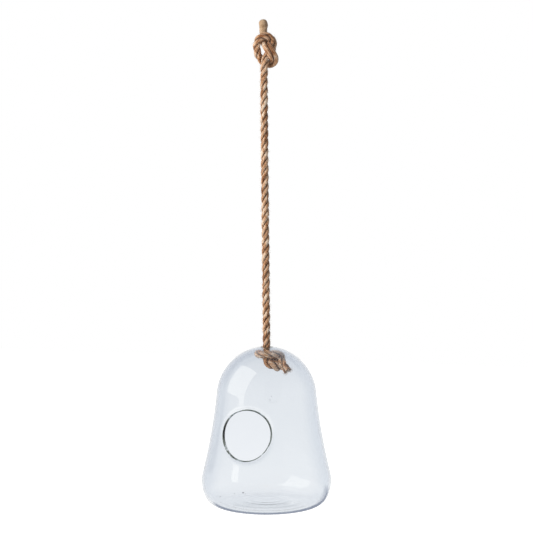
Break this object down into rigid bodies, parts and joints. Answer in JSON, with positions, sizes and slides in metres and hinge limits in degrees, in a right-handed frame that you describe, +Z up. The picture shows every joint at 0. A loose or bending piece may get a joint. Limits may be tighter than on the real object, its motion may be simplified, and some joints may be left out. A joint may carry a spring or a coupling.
{
  "type": "hanging propagation vase",
  "caption": "Clear blown glass propagation vase with a round side opening, hanging from a knotted jute rope that passes through its crown.",
  "frame": {"origin": "the eye of the knot at the rope's top, by which the whole thing hangs", "axes": "+Z up along the hanging rope and the vase's axis, -Y out of the vase's round side opening, +X to the right of someone who looks into the opening"},
  "size_m": [0.1679, 0.168, 0.6312],
  "materials": {
    "glass": "clear blown soda-lime glass, faint blue-grey, slightly wavy, with a few seeds",
    "jute": "three-strand laid natural jute rope, matte and hairy",
    "dip": "rope tip stiffened with dried glue, smoother and paler than the rope"
  },
  "bodies": {
    "hanger": {"dipped_end": "dip", "top_knot": "jute", "rope_neck": "jute"},
    "link": {"rope_link": "jute"},
    "upper": {"upper_rope": "jute"},
    "middle": {"middle_rope": "jute"},
    "lower": {"lower_rope": "jute", "stopper_knot": "jute", "frayed_tail": "jute"},
    "vessel": {"glass_vessel": "glass"}
  },
  "joints": [
    {"name": "swing_side", "type": "hinge", "parent": "hanger", "child": "link", "pos_m": [0, 0, -0.071], "axis": [0, 1, 0], "range_deg": [-45, 45]},
    {"name": "swing_front", "type": "hinge", "parent": "link", "child": "upper", "pos_m": [0, 0, -0.133], "axis": [1, 0, 0], "range_deg": [-45, 45]},
    {"name": "rope_twist", "type": "hinge", "parent": "upper", "child": "middle", "pos_m": [0, 0, -0.195], "axis": [0, 0, 1], "range_deg": [-180, 180]},
    {"name": "rope_bend", "type": "hinge", "parent": "middle", "child": "lower", "pos_m": [0, 0, -0.257], "axis": [1, 0, 0], "range_deg": [-45, 45]},
    {"name": "vase_lift", "type": "slide", "parent": "lower", "child": "vessel", "axis": [0, 0, 1], "range_m": [0, 0.094]}
  ]
}
